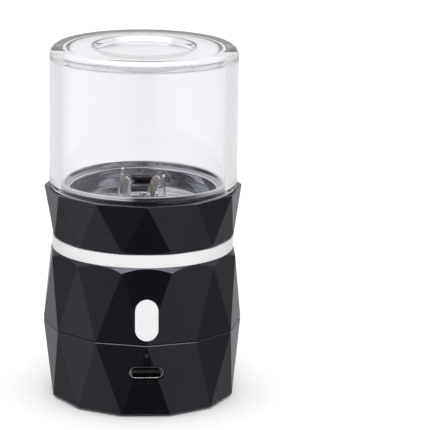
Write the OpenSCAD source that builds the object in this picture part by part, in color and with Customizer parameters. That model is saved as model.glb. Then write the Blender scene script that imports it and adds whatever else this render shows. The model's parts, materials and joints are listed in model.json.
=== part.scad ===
// Rechargeable herb and spice grinder with a faceted body and a screw-on glass lid.
// Millimetres, +Z up, front at -Y, origin in the middle of the face it stands on.

/* [Bowl and blade chamber] */
// Inner radius of the steel bowl
bowl_r = 18.9; // [17:0.1:21]
// Thickness of the bowl's steel
bowl_t = 0.7; // [0.5:0.1:1]
// Depth of the bowl from its rim to its floor
bowl_depth = 9.2; // [8:0.1:11]
// Width of the step between the bowl's wall and its raised rim
rim_step = 1.5; // [1:0.1:1.8]
// Height of the raised rim above the step
rim_h = 1.4; // [1:0.1:2]
// Inner radius of the curve between floor and wall
bowl_fillet = 3.5; // [2:0.1:5]
// How far the rim stands above the collar
rim_rise = 1.7; // [1:0.1:3]

/* [Glass jar] */
// Wall of the glass
jar_wall = 3.1; // [2.5:0.1:4.5]
// Height of the glass above the collar
jar_h = 36.9; // [25:0.1:60]
// Thickness of the closed end
jar_end_t = 1.6; // [1.4:0.1:3]
// Radius of the rounded shoulder at the closed end
jar_shoulder = 2.3; // [1.8:0.1:4]
// Radius of the curve between the body and the mouth
jar_heel = 3.4; // [2:0.1:5]
// Wall of the mouth that sits in the collar
mouth_wall = 2.05; // [1.6:0.05:2.4]
// Depth of the mouth in the collar
mouth_depth = 3.4; // [2.5:0.1:4.5]
// Width of the flat ring on the closed end
stand_w = 8.8; // [5:0.1:11]
// Depth the closed end is pushed in inside that ring
stand_dip = 1.3; // [0.5:0.1:1.5]

/* [Collar] */
// Height of the collar
collar_h = 12.75; // [11:0.05:16]
// Least wall round the mouth of the jar
collar_wall = 1.32; // [1.1:0.02:3]
// Least wall round the thread
collar_foot_wall = 1.48; // [1.2:0.02:3]
// Cut across the corners of the lower edge
collar_cut = 0.6; // [0.3:0.1:1]
// Gap between collar and ring
collar_gap = 0.3; // [0.2:0.05:0.6]

/* [Thread] */
// Rise of one turn
thread_pitch = 3.2; // [2.8:0.1:4]
// Height of the ridge above its root
thread_depth = 0.55; // [0.4:0.05:0.7]
// Width of the ridge at its root
thread_root_w = 1.5; // [1.2:0.1:1.6]
// Width of the ridge at its crest
thread_crest_w = 0.7; // [0.5:0.1:0.9]
// Turns of the ridge on the neck
thread_turns = 1.15; // [1:0.05:1.3]

/* [Neck] */
// Wall of the threaded neck
neck_wall = 1.35; // [1.2:0.05:2]
// Thickness of the floor between bowl and motor
neck_floor_t = 1.6; // [1.2:0.1:2.5]
// Width of the flange that clamps the ring
flange_w = 1.6; // [1.2:0.1:2.5]
// Thickness of the flange
flange_t = 1.55; // [1.2:0.05:2]
// Radius of the O-ring's cord
seal_cord_r = 0.6; // [0.5:0.05:0.7]

/* [White ring] */
// Height of the ring
ring_h = 3.35; // [2.8:0.05:5]
// Wall of the ring beside the flange
ring_wall = 1; // [0.8:0.05:2]

/* [Faceted body] */
// Number of corners round the body
sides = 12; // [10:1:14]
// Height from the lower edge to the widest line
lower_h = 19.4; // [17:0.1:26]
// Height from the widest line to the shoulder corners
upper_h = 18.6; // [17:0.1:26]
// Height of the sloping cut above the shoulder corners
shoulder_h = 1.3; // [0.8:0.1:2]
// Corners of the shoulder beyond the deck
shoulder_out = 1.1; // [0.8:0.1:2]
// Corners of the widest line beyond the shoulder
seam_flare = 1.25; // [0.6:0.05:3]
// Corners of the foot inside the widest line
foot_taper = 1.6; // [0.8:0.1:3]
// Wall of the shells
shell_wall = 1.8; // [1.4:0.1:2.4]
// Thickness of the floor
floor_t = 2; // [1.5:0.1:3]
// Thickness of the deck
deck_t = 2; // [1.5:0.1:3]
// Bevel along the joint between the shells
seam_bevel = 0.25; // [0.1:0.05:0.4]
// Rubber standing out below the floor
pad_proud = 0.5; // [0.3:0.1:1]
// Thickness of the rubber pad
pad_t = 1; // [0.8:0.1:1.4]
// Width of the rubber pad
pad_w = 7.4; // [6.6:0.1:9]

/* [Button, light and port] */
// Width of the button
button_w = 6; // [5:0.1:7]
// Height of the button
button_h = 10.7; // [8:0.1:12]
// Middle of the button above the widest line
button_rise = 6.5; // [6:0.1:8]
// Button standing out from its facet
button_proud = 0.1; // [0:0.05:0.6]
// Travel of the button
button_travel = 0.5; // [0.3:0.1:0.6]
// Radius of the indicator window
light_r = 0.62; // [0.5:0.02:0.9]
// Indicator window below the widest line
light_drop = 2.8; // [2.6:0.1:4]
// Middle of the port above the lower edge
port_rise = 11.75; // [10:0.05:13]
// Depth of the port's mouth behind its facet
port_inset = 0.7; // [0.4:0.1:1.2]

/* [Motor] */
// Motor's radius smaller than the bowl's by
motor_inset = 6.8; // [6.5:0.1:8]
// Length of the motor
motor_l = 30; // [26:0.5:32]
// Radius of the shaft
shaft_r = 1; // [0.9:0.05:1.5]
// Wall of the can
can_t = 0.8; // [0.6:0.1:1]
// Distance from the axis to each motor screw
motor_screw_x = 8; // [7:0.1:8.5]

/* [Blades] */
// Width of a blade strip
blade_w = 2.3; // [1.8:0.1:3]
// Thickness of a blade strip
blade_t = 0.6; // [0.5:0.05:0.8]
// Inner radius of the bend where a prong turns up
blade_bend = 0.8; // [0.5:0.1:1.2]
// Gap between the bowl's floor and the hub
hub_gap = 0.6; // [0.5:0.1:1]

/* [Battery and board] */
// Width of the cell
cell_w = 20; // [16:0.5:22]
// Gap between the cell and the rear screw post
cell_gap = 1.9; // [1:0.1:6]
// Thickness of the cell
cell_t = 7; // [5:0.1:8]
// Width of the board
board_w = 22; // [18:0.5:23]
// Height of the board
board_h = 29; // [27:0.5:31]
// Thickness of the board
board_t = 1.2; // [1:0.1:1.6]
// Front face of the board behind the widest line
board_inset = 9.4; // [8.8:0.1:10]

/* [Hidden] */
$fn = 96;

// Colours
black_abs = "#1c1d20";
white_abs = "#f1f1ef";
clear_glass = "#dfe6ea";
steel = "#c9cbcd";
brass = "#c9a24c";
copper = "#b8693a";
rubber_grey = "#2b2b2d";
board_green = "#1f5a3a";
dark_plastic = "#222326";

// Clearances
slip = 0.05;         // between parts that are pushed together
press = 0.01;        // between the shaft and what is pressed on it
glue = 0.15;         // round the glass in its pocket
run = 0.3;           // between parts that move past each other
shaft_run = 0.03;    // round the shaft in its bushings
embed = 0.3;         // a ridge or rib sunk into its wall
over = 1;            // a cut running past the face it opens

// Radii, worked outwards from the bowl
rim_r = bowl_r + rim_step;
rim_out_r = rim_r + bowl_t;
jar_bore_r = rim_out_r + run;
jar_r = jar_bore_r + jar_wall;
mouth_r = jar_bore_r + mouth_wall;
pocket_r = mouth_r + glue;
neck_in_r = bowl_r + bowl_t + slip;
neck_r = neck_in_r + neck_wall;
ridge_gap = 0.25;    // between a ridge's crest and the wall it runs along
collar_bore_r = neck_r + thread_depth + ridge_gap;
flange_r = neck_r + flange_w;
ring_r = flange_r + slip + ring_wall + slip;
deck_r = ring_r - slip;
half_side = 180 / sides;
collar_r = (pocket_r + collar_wall) / cos(half_side);
collar_foot_r = (collar_bore_r + collar_foot_wall) / cos(half_side);
shoulder_r = deck_r + shoulder_out;
seam_r = shoulder_r + seam_flare;
foot_r = seam_r - foot_taper;
motor_r = bowl_r - motor_inset;
board_y = seam_r - board_inset;

// Heights, worked upwards from the resting face
base_z = pad_proud;
seam_z = base_z + lower_h;
shoulder_z = seam_z + upper_h;
deck_z = shoulder_z + shoulder_h;
ring_top = deck_z + ring_h;
collar_z = ring_top + collar_gap;
collar_top = collar_z + collar_h;
jar_top = collar_top + jar_h;
mouth_z = collar_top - mouth_depth;
rim_z = collar_top + rim_rise;
step_z = rim_z - rim_h;
floor_z = rim_z - bowl_depth;
neck_floor_z = floor_z - bowl_t;
motor_z = neck_floor_z - neck_floor_t;
motor_back_z = motor_z - motor_l;

// Front facets, as distances in front of the axis
upper_slope = (seam_r - shoulder_r * cos(half_side)) / upper_h;
lower_slope = (seam_r - foot_r * cos(half_side)) / lower_h;
button_z = seam_z + button_rise;
light_z = seam_z - light_drop;
port_z = base_z + port_rise;
button_face = seam_r - upper_slope * button_rise;
light_face = seam_r - lower_slope * light_drop;
port_face = seam_r - lower_slope * (seam_z - port_z);
upper_tilt = atan(upper_slope);

// Standard parts
screw_r = 1;
screw_head_r = 1.9;
screw_head_t = 1.4;
screw_hole_r = 1.15;
pilot_r = 1.02;
port_w = 8.94;       // outside of a USB-C shell
port_h = 3.2;
port_sheet = 0.3;
switch_w = 6;        // tactile switch body
switch_d = 3.5;
plunger_r = 1.75;
lead_r = 0.45;

// Closed solid through rings of corners, each ring [height, corner radius, half sides turned].
// Between two rings turned by half a side the wall is a band of triangular facets.
module facet_stack(rings) {
    last = len(rings) - 1;
    points = [for (ring = rings) for (i = [0:sides - 1])
        let (a = (i + ring[2] / 2) * 360 / sides - 90)
        [ring[1] * cos(a), ring[1] * sin(a), ring[0]]];
    walls = [for (k = [0:last - 1]) for (i = [0:sides - 1])
        let (low = k * sides, high = low + sides, j = (i + 1) % sides, turn = rings[k + 1][2] - rings[k][2])
        each (turn == 0 ? [[low + i, high + i, high + j, low + j]]
            : turn > 0 ? [[low + i, high + i, low + j], [low + j, high + i, high + j]]
            : [[low + i, high + i, high + j], [low + i, high + j, low + j]])];
    floor_face = [for (i = [0:sides - 1]) i];
    top_face = [for (i = [sides - 1:-1:0]) last * sides + i];
    polyhedron(points, concat(walls, [floor_face, top_face]));
}

// Corner radius that leaves the shell's wall inside a corner radius
function inset(r, wall = shell_wall) = r - wall / cos(half_side);

// Points along an arc
function arc(x, y, r, a0, a1, n = 8) =
    [for (i = [0:n]) let (a = a0 + (a1 - a0) * i / n) [x + r * cos(a), y + r * sin(a)]];

// Upright tube
module tube(z0, z1, r_out, r_in) {
    translate([0, 0, z0])
        difference() {
            cylinder(h = z1 - z0, r = r_out);
            translate([0, 0, -over])
                cylinder(h = z1 - z0 + 2 * over, r = r_in);
        }
}

// Upright cylinder between two heights
module post(z0, z1, r) {
    translate([0, 0, z0])
        cylinder(h = z1 - z0, r = r);
}

// Box between two corners
module block(low, high) {
    translate(low)
        cube(high - low);
}

// Flat shape seen from the front, as thick as from y0 back to y1
module facing_front(y0, y1) {
    translate([0, y1, 0])
        rotate([90, 0, 0])
            linear_extrude(y1 - y0)
                children();
}

// Capsule lying across
module wide_capsule(w, h) {
    square([w - h, h], center = true);
    for (side = [-1, 1])
        translate([side * (w - h) / 2, 0])
            circle(r = h / 2);
}

// Capsule standing up
module tall_capsule(w, h) {
    rotate(90)
        wide_capsule(h, w);
}

// Copies round the axis, the first one at an angle from the front
module round_axis(count, first, r) {
    for (i = [0:count - 1])
        rotate(first + i * 360 / count - 90)
            translate([r, 0, 0])
                children();
}

// Helical ridge. A positive depth stands outwards from r, a negative one inwards.
ridge_step = 10;     // degrees between sections
ridge_fade = 40;     // degrees over which its ends run out
module ridge(r, depth, z, from, turns) {
    count = round(turns * 360 / ridge_step);
    sunk = depth > 0 ? -embed : embed;
    // Height of the section's crest, running out at both ends
    function rise(i) = depth * min(1, (min(i, count - i) + 1) * ridge_step / ridge_fade);
    points = [for (i = [0:count])
        let (a = from + i * ridge_step, h = z + thread_pitch * i * ridge_step / 360)
        for (p = [[sunk, -thread_root_w / 2], [rise(i), -thread_crest_w / 2],
                  [rise(i), thread_crest_w / 2], [sunk, thread_root_w / 2]])
        [(r + p[0]) * cos(a), (r + p[0]) * sin(a), h + p[1]]];
    strip = [for (i = [0:count - 1]) for (k = [0:3])
        let (p = 4 * i + k, q = 4 * i + (k + 1) % 4)
        each [[p, p + 4, q], [q, p + 4, q + 4]]];
    ends = [[0, 1, 2], [0, 2, 3], [4 * count, 4 * count + 2, 4 * count + 1],
            [4 * count, 4 * count + 3, 4 * count + 2]];
    faces = concat(strip, ends);
    polyhedron(points, depth < 0 ? faces : [for (f = faces) [f[0], f[2], f[1]]]);
}

// Round lead swept along a route
lead_sides = 8;
module lead(route) {
    last = len(route) - 1;
    function unit(v) = v / norm(v);
    ways = [for (i = [0:last]) unit(route[min(i + 1, last)] - route[max(i - 1, 0)])];
    points = [for (i = [0:last])
        let (side = unit(cross(ways[i], [0.31, 0.17, 0.93])), up = cross(ways[i], side))
        for (k = [0:lead_sides - 1])
        let (a = 360 * k / lead_sides)
        route[i] + lead_r * (side * cos(a) + up * sin(a))];
    wall = [for (i = [0:last - 1]) for (k = [0:lead_sides - 1])
        let (j = (k + 1) % lead_sides, low = i * lead_sides, high = low + lead_sides)
        each [[low + k, high + k, low + j], [low + j, high + k, high + j]]];
    near_end = [for (k = [0:lead_sides - 1]) k];
    far_end = [for (k = [lead_sides - 1:-1:0]) last * lead_sides + k];
    polyhedron(points, concat(wall, [near_end, far_end]));
}

// ---------------------------------------------------------------- lid

jar_heel_z = collar_top + jar_heel / 2;
heel_angle = acos((mouth_r - jar_r + jar_heel) / jar_heel);
lip_round = 0.5;
ceiling_round = 2;

module glass_jar() {
    stand_r = jar_r - jar_shoulder;
    dip_r = stand_r - stand_w;
    dip_run = 0.8 * stand_dip;
    outside = concat(
        [[0, mouth_z]],
        arc(mouth_r - lip_round, mouth_z + lip_round, lip_round, -90, 0, 4),
        arc(jar_r - jar_heel, jar_heel_z, jar_heel, -heel_angle, 0),
        arc(stand_r, jar_top - jar_shoulder, jar_shoulder, 0, 90),
        [[dip_r, jar_top], [dip_r - dip_run, jar_top - stand_dip], [0, jar_top - stand_dip]]);
    ceiling = jar_top - jar_end_t;
    inside = concat(
        [[0, mouth_z - over], [jar_bore_r + lip_round, mouth_z - over]],
        arc(jar_bore_r + lip_round, mouth_z + lip_round, lip_round, 270, 180, 4),
        arc(jar_bore_r - ceiling_round, ceiling - ceiling_round, ceiling_round, 0, 90),
        [[dip_r, ceiling], [dip_r - dip_run, ceiling - stand_dip], [0, ceiling - stand_dip]]);
    color(clear_glass, 0.4)
        difference() {
            rotate_extrude() polygon(outside);
            rotate_extrude() polygon(inside);
        }
}

// The ridge inside the collar lies just under the ridge on the neck
neck_ridge_z = ring_top + 3.6;
flank_gap = 0.3;
collar_ridge_z = neck_ridge_z - thread_pitch / 2 + flank_gap;
collar_ridge_from = 60;
flare_w = 0.55;      // widening at the top of the pocket
flare_h = 1;

module lid_collar() {
    cut_r = collar_foot_r - collar_cut;
    edge = 0.12;
    color(black_abs) {
        difference() {
            intersection() {
                facet_stack([[collar_z, collar_foot_r, 1], [collar_top - edge, collar_r, 0],
                             [collar_top, collar_r - edge, 0]]);
                translate([0, 0, collar_z])
                    cylinder(h = collar_h, r1 = cut_r, r2 = cut_r + collar_h);
            }
            post(collar_z - over, mouth_z + over, collar_bore_r);
            post(mouth_z, collar_top + over, pocket_r);
            translate([0, 0, collar_top - flare_h])
                cylinder(h = 2 * flare_h, r1 = pocket_r, r2 = pocket_r + 2 * flare_w);
        }
        ridge(collar_bore_r, -thread_depth, collar_ridge_z + thread_pitch * collar_ridge_from / 360,
              collar_ridge_from, 1);
    }
}

// ---------------------------------------------------------------- neck, ring and bowl

seal_groove_z = ring_top + 0.4;
seal_groove_h = 2 * seal_cord_r + 2 * slip;
seal_r = collar_bore_r - 2 * slip - seal_cord_r;
sleeve_r = motor_r + 0.5;
sleeve_wall = 1.6;
neck_foot_r = flange_r - 2.5;
neck_top = step_z - bowl_t;
neck_screw_at = (sleeve_r + sleeve_wall + neck_foot_r - 1.5) / 2;
boss_r = 2.4;
motor_boss_r = 3.1;
motor_boss_h = neck_floor_t;
hub_hole_r = 2.4;

module neck_seal() {
    color(rubber_grey)
        translate([0, 0, seal_groove_z + seal_groove_h / 2])
            rotate_extrude()
                translate([seal_r, 0])
                    circle(r = seal_cord_r, $fn = 24);
}

module threaded_neck() {
    groove_r = seal_r - seal_cord_r - slip;
    thread_end = mouth_z - run;
    color(black_abs) {
        difference() {
            union() {
                tube(deck_z, motor_z + neck_floor_t, neck_foot_r, neck_foot_r - 1.5);
                tube(deck_z, motor_z + neck_floor_t, sleeve_r + sleeve_wall, sleeve_r);
                // Screw bosses, their seams turned to the open side
                round_axis(3, 0, neck_screw_at)
                    rotate(90)
                        post(deck_z, motor_z + embed, boss_r);
                post(motor_z, neck_floor_z, neck_r - embed);
                tube(deck_z + ring_h - flange_t, ring_top, flange_r, neck_foot_r - embed);
                tube(ring_top - flange_t, thread_end, neck_r, neck_in_r);
                tube(thread_end - embed, neck_top, rim_out_r, neck_in_r);
            }
            tube(seal_groove_z, seal_groove_z + seal_groove_h, neck_r + over, groove_r);
            post(motor_z - over, neck_floor_z + over, motor_boss_r + slip);
            for (side = [-1, 1])
                translate([side * motor_screw_x, 0, 0])
                    post(motor_z - over, neck_floor_z + over, screw_hole_r);
            round_axis(3, 0, neck_screw_at)
                post(deck_z - over, deck_z + 4.5, pilot_r);
        }
        ridge(neck_r, thread_depth, neck_ridge_z, 0, thread_turns);
    }
}

module accent_ring() {
    ledge_z = ring_top - flange_t;
    color(white_abs)
        rotate_extrude()
            polygon([[neck_foot_r + slip, deck_z], [ring_r, deck_z],
                     [ring_r, ring_top], [flange_r + slip, ring_top],
                     [flange_r + slip, ledge_z], [neck_foot_r + slip, ledge_z]]);
}

// Half section of the bowl's inside or outside, grown by the thickness of the steel
step_round = 0.6;
function bowl_half(grow, rise) = concat(
    [[0, floor_z - grow]],
    arc(bowl_r - bowl_fillet, floor_z + bowl_fillet, bowl_fillet + grow, -90, 0),
    grow > 0
        ? [[bowl_r + grow, step_z - grow]]
        : arc(bowl_r + step_round, step_z - step_round, step_round, 180, 90, 4),
    [[rim_r + grow, step_z - grow], [rim_r + grow, rim_z + rise], [0, rim_z + rise]]);

module grinding_bowl() {
    color(steel)
        difference() {
            rotate_extrude() polygon(bowl_half(bowl_t, 0));
            rotate_extrude() polygon(bowl_half(0, over));
            post(floor_z - 2 * bowl_t, floor_z + over, hub_hole_r);
            for (side = [-1, 1])
                translate([side * motor_screw_x, 0, 0])
                    post(floor_z - 2 * bowl_t, floor_z + over, screw_hole_r);
        }
}

seal_rise = 0.25;
module shaft_seal() {
    color(rubber_grey)
        tube(neck_floor_z, floor_z + seal_rise, hub_hole_r - slip, shaft_r + 0.08);
}

// ---------------------------------------------------------------- housings

housing_screw_at = inset(seam_r) * cos(half_side) - 3;
post_r = 2.5;
post_z = base_z + 12.5;
screw_seat_z = base_z + 10.5;
skirt_r = inset(seam_r) * cos(half_side) - 0.35;
skirt_t = 0.9;
skirt_h = 1.5;
button_gap = 0.2;
guide_w = 1.6;
guide_grip = 1;      // board held this far into its guides

// Board and cell standing on the floor
board_z = base_z + floor_t;
board_back = -board_y + board_t;
cell_front = board_back + 2;
cell_l = housing_screw_at - post_r - 0.3 - cell_gap - cell_front;
cell_pad_t = 0.5;
rib_t = 1.2;
rib_h = 4;
socket_t = 1.2;
plug_t = 1.4;
plug_w = 4.2;
plug_h = 3.2;
plug_at = [6, 13.5];
chip_rise = board_h - 9;

// Pair of slotted guides for the edges of the board
module board_guides(z0, z1) {
    difference() {
        for (side = [-1, 1])
            translate([side * (board_w + guide_w - guide_grip) / 2, -board_y + board_t / 2, (z0 + z1) / 2])
                cube([guide_w + guide_grip, board_t + 2 * guide_w, z1 - z0], center = true);
        block([-board_w / 2 - slip, -board_y - slip, board_z],
              [board_w / 2 + slip, board_back + slip, board_z + board_h + slip]);
    }
}

// Button behind its facet
button_flange = 0.8;
button_flange_t = 0.6;
button_back = button_face - shell_wall - 1.6;
plunger_face = button_back - 0.6;

module upper_housing() {
    shell_h = deck_z - seam_z;
    cone_slope = shoulder_out / shoulder_h;
    cone_r = deck_r - 0.04;      // takes the points off the shoulder corners
    deck_corner_r = (seam_r - upper_slope * shell_h) / cos(half_side);
    under_deck = deck_z - deck_t;
    color(black_abs)
        difference() {
            union() {
                difference() {
                    intersection() {
                        facet_stack([[seam_z, seam_r - seam_bevel, 0], [seam_z + seam_bevel, seam_r, 0],
                                     [shoulder_z, shoulder_r, 1], [deck_z, deck_corner_r, 1]]);
                        translate([0, 0, seam_z])
                            cylinder(h = shell_h, r1 = cone_r + cone_slope * shell_h, r2 = cone_r);
                    }
                    facet_stack([[seam_z - over, inset(seam_r), 0], [under_deck, inset(shoulder_r), 1]]);
                }
                tube(seam_z - skirt_h, seam_z + 1.2, skirt_r, skirt_r - skirt_t);
                tube(seam_z, seam_z + 1.2, skirt_r + 1, skirt_r - skirt_t);
                round_axis(3, 60, housing_screw_at)
                    post(post_z, under_deck + embed, post_r);
                board_guides(board_z + board_h - 2, under_deck + embed);
            }
            post(under_deck - over, deck_z + over, sleeve_r);
            round_axis(3, 0, neck_screw_at)
                post(under_deck - over, deck_z + over, screw_hole_r);
            round_axis(3, 60, housing_screw_at)
                post(post_z - over, post_z + 7.5, pilot_r);
            translate([0, 0, button_z])
                facing_front(-button_face - 2, -button_back)
                    tall_capsule(button_w + 2 * button_gap, button_h + 2 * button_gap);
            // Relief for the flange and its travel
            translate([0, 0, button_z])
                facing_front(-button_back - button_flange_t - run, -plunger_face + 2)
                    tall_capsule(button_w + 2 * (button_flange + run), button_h + 2 * (button_flange + run));
        }
}

pad_r = inset(foot_r) * cos(half_side) + 0.9;
port_gap = 0.25;

module lower_housing() {
    color(black_abs)
        difference() {
            union() {
                difference() {
                    facet_stack([[base_z, foot_r - seam_bevel, 1], [base_z + seam_bevel, foot_r, 1],
                                 [seam_z - seam_bevel, seam_r, 0], [seam_z, seam_r - seam_bevel, 0]]);
                    facet_stack([[base_z + floor_t, inset(foot_r), 1], [seam_z + over, inset(seam_r), 0]]);
                }
                round_axis(3, 60, housing_screw_at)
                    post(board_z - embed, post_z, post_r + 0.3);
                board_guides(board_z - embed, port_z + 1);
                // Ribs beside the cell
                for (side = [-1, 1])
                    translate([side * (cell_w + rib_t + 2 * slip) / 2, cell_front + cell_l / 2, 0])
                        translate([-rib_t / 2, -cell_l / 4, board_z - embed])
                            cube([rib_t, cell_l / 2, rib_h]);
            }
            tube(base_z - over, base_z + pad_t - pad_proud, pad_r + slip, pad_r - pad_w - slip);
            round_axis(3, 60, housing_screw_at) {
                post(base_z - over, screw_seat_z, screw_head_r + 0.2);
                post(base_z, post_z + over, screw_hole_r);
            }
            translate([0, 0, port_z])
                facing_front(-seam_r - 1, -board_y - 2.5)
                    wide_capsule(port_w + 2 * port_gap, port_h + 2 * port_gap);
            translate([0, 0, light_z])
                facing_front(-seam_r - 1, -board_y - 2.5)
                    circle(r = light_r + slip);
        }
}

module foot_pad() {
    color(rubber_grey)
        tube(0, pad_t, pad_r, pad_r - pad_w);
}

// Screw standing head down with its seat at z
module screw_up(z, length) {
    post(z - screw_head_t, z, screw_head_r);
    post(z - embed, z + length, screw_r);
}

module housing_screws() {
    color(steel)
        round_axis(3, 60, housing_screw_at)
            difference() {
                screw_up(screw_seat_z, 8.5);
                translate([0, 0, screw_seat_z - screw_head_t - over])
                    cylinder(h = over + 0.7, r = 1.1, $fn = 6);
            }
}

module neck_screws() {
    color(steel)
        round_axis(3, 0, neck_screw_at)
            difference() {
                screw_up(deck_z - deck_t, deck_t + 4);
                translate([0, 0, deck_z - deck_t - screw_head_t - over])
                    cylinder(h = over + 0.7, r = 1.1, $fn = 6);
            }
}

module motor_screws() {
    head_t = 0.8;
    color(steel)
        for (side = [-1, 1])
            translate([side * motor_screw_x, 0, 0])
                difference() {
                    union() {
                        post(motor_z - can_t - 1, floor_z + embed, screw_r);
                        post(floor_z, floor_z + head_t, screw_head_r);
                    }
                    translate([0, 0, floor_z + head_t - 0.5])
                        cylinder(h = over, r = 1.1, $fn = 6);
                }
}

// ---------------------------------------------------------------- motor

can_front_z = motor_z - can_t;
bell_t = 2.2;
bell_plug = 1.8;
bell_face_z = motor_back_z + bell_t;
bushing_r = 2.5;
terminal_x = motor_r - 5.1;
terminal_t = 0.6;
terminal_l = 2.2;
magnet_t = 0.157 * motor_r;
air_gap = 0.45;
magnet_out_r = motor_r - can_t - slip;
armature_r = magnet_out_r - magnet_t - air_gap;
commutator_r = 2.6;
commutator_z = bell_face_z + bell_plug + 0.4;
commutator_l = 3.4;
armature_z = commutator_z + commutator_l + 1.2;
armature_l = motor_l - 16;
magnet_l = armature_l + 2;
back_boss_h = 1.2;

module motor_can() {
    color(steel)
        difference() {
            union() {
                post(bell_face_z, motor_z, motor_r);
                post(motor_z - embed, motor_z + motor_boss_h, motor_boss_r);
            }
            post(motor_back_z, can_front_z, motor_r - can_t);
            post(can_front_z - over, motor_z + motor_boss_h + over, bushing_r + slip);
            for (side = [-1, 1])
                translate([side * motor_screw_x, 0, 0])
                    post(can_front_z - over, motor_z + over, pilot_r);
        }
}

module motor_magnets() {
    span = 130;
    z0 = armature_z + (armature_l - magnet_l) / 2;
    color("#3a3a3d")
        for (side = [0, 180])
            rotate(side - span / 2)
                translate([0, 0, z0])
                    rotate_extrude(angle = span)
                        translate([magnet_out_r - magnet_t, 0])
                            square([magnet_t, magnet_l]);
}

module motor_front_bushing() {
    color(brass)
        tube(can_front_z - 1, motor_z + motor_boss_h - slip, bushing_r, shaft_r + shaft_run);
}

module motor_end_bell() {
    color(dark_plastic)
        difference() {
            union() {
                post(motor_back_z, bell_face_z, motor_r);
                post(motor_back_z + embed, bell_face_z + bell_plug, motor_r - can_t - slip);
                post(motor_back_z - back_boss_h, motor_back_z + embed, motor_boss_r + 0.6);
            }
            post(motor_back_z - back_boss_h - over, bell_face_z + bell_plug + over, bushing_r + slip);
            for (side = [-1, 1])
                translate([side * terminal_x, 0, motor_back_z])
                    cube([terminal_t + 0.4, 2.6, 3 * bell_t], center = true);
            tube(bell_face_z, bell_face_z + bell_plug + over, terminal_x + 2, terminal_x - 2);
        }
}

module motor_rear_bushing() {
    color(brass)
        tube(motor_back_z - back_boss_h, bell_face_z, bushing_r, shaft_r + shaft_run);
}

module motor_brushes() {
    z = commutator_z + commutator_l / 2;
    brush_r = commutator_r + 1.6;
    spring_t = 0.3;
    spring_w = 1.6;
    arm_z = z - 0.8;
    color(copper)
        for (turn = [0, 180])
            rotate(turn) {
                block([commutator_r + slip, -1, z - 1], [brush_r, 1, z + 1]);
                block([brush_r - embed, -spring_w / 2, arm_z], [terminal_x, spring_w / 2, arm_z + spring_t]);
                block([terminal_x - spring_t, -spring_w / 2, bell_face_z + 0.2],
                      [terminal_x, spring_w / 2, arm_z + spring_t]);
            }
}

module motor_terminals() {
    color(brass)
        for (side = [-1, 1])
            translate([side * terminal_x, 0, 0])
                block([-terminal_t / 2, -1.2, motor_back_z - terminal_l],
                      [terminal_t / 2, 1.2, bell_face_z + 0.15]);
}

// Heights on the shaft
hub_z = floor_z + hub_gap;
hub_t = 0.8;
hub_r = 3.2;
blade_z = hub_z + hub_t;
washer_t = 0.4;
washer_z = blade_z + 3 * blade_t;
nut_z = washer_z + washer_t;
nut_t = 1.6;
nut_r = 2.4;
tip_over = 0.3;

module motor_shaft() {
    color(steel)
        post(motor_back_z - back_boss_h + 0.2, nut_z + nut_t + tip_over, shaft_r);
}

hub_core_r = 0.28 * motor_r;
pole_w = 2.6;
shoe_t = 0.115 * motor_r;
shoe_span = 100;
wire = 0.107 * motor_r;

module armature_core() {
    color("#8a8c90")
        translate([0, 0, armature_z])
            linear_extrude(armature_l)
                difference() {
                    union() {
                        circle(r = hub_core_r);
                        for (a = [0, 120, 240])
                            rotate(a) {
                                translate([0, -pole_w / 2])
                                    square([armature_r - shoe_t / 2, pole_w]);
                                intersection() {
                                    difference() {
                                        circle(r = armature_r);
                                        circle(r = armature_r - shoe_t);
                                    }
                                    polygon([[0, 0], for (b = [-1, 1])
                                        2 * armature_r * [cos(b * shoe_span / 2), sin(b * shoe_span / 2)]]);
                                }
                            }
                    }
                    circle(r = shaft_r + press);
                }
}

// Coil round each pole
module armature_windings() {
    half_w = pole_w / 2 + slip;
    top_z = armature_z + armature_l;
    color(copper)
        for (a = [0, 120, 240])
            rotate(a)
                difference() {
                    block([hub_core_r + 0.2, -half_w - wire, armature_z - wire],
                          [armature_r - shoe_t - 0.6, half_w + wire, top_z + wire]);
                    block([0, -half_w, armature_z - slip], [armature_r, half_w, top_z + slip]);
                }
}

module commutator() {
    color(copper)
        difference() {
            tube(commutator_z, commutator_z + commutator_l, commutator_r, shaft_r + press);
            for (a = [60, 180, 300])
                rotate(a)
                    block([commutator_r - 0.5, -0.15, commutator_z - over],
                          [commutator_r + over, 0.15, commutator_z + commutator_l + over]);
        }
}

// ---------------------------------------------------------------- blades

module blade_hub() {
    color(brass)
        tube(hub_z, hub_z + hub_t, hub_r, shaft_r + press);
}

module blade_washer() {
    color(steel)
        tube(washer_z, washer_z + washer_t, nut_r + 0.1, shaft_r + press);
}

module blade_nut() {
    color(steel)
        translate([0, 0, nut_z])
            difference() {
                intersection() {
                    rotate(30)
                        cylinder(h = nut_t, r = nut_r, $fn = 6);
                    cylinder(h = nut_t, r1 = nut_r + 0.6, r2 = nut_r - 0.25);
                }
                translate([0, 0, -over])
                    cylinder(h = nut_t + 2 * over, r = shaft_r + press);
            }
}

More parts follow.
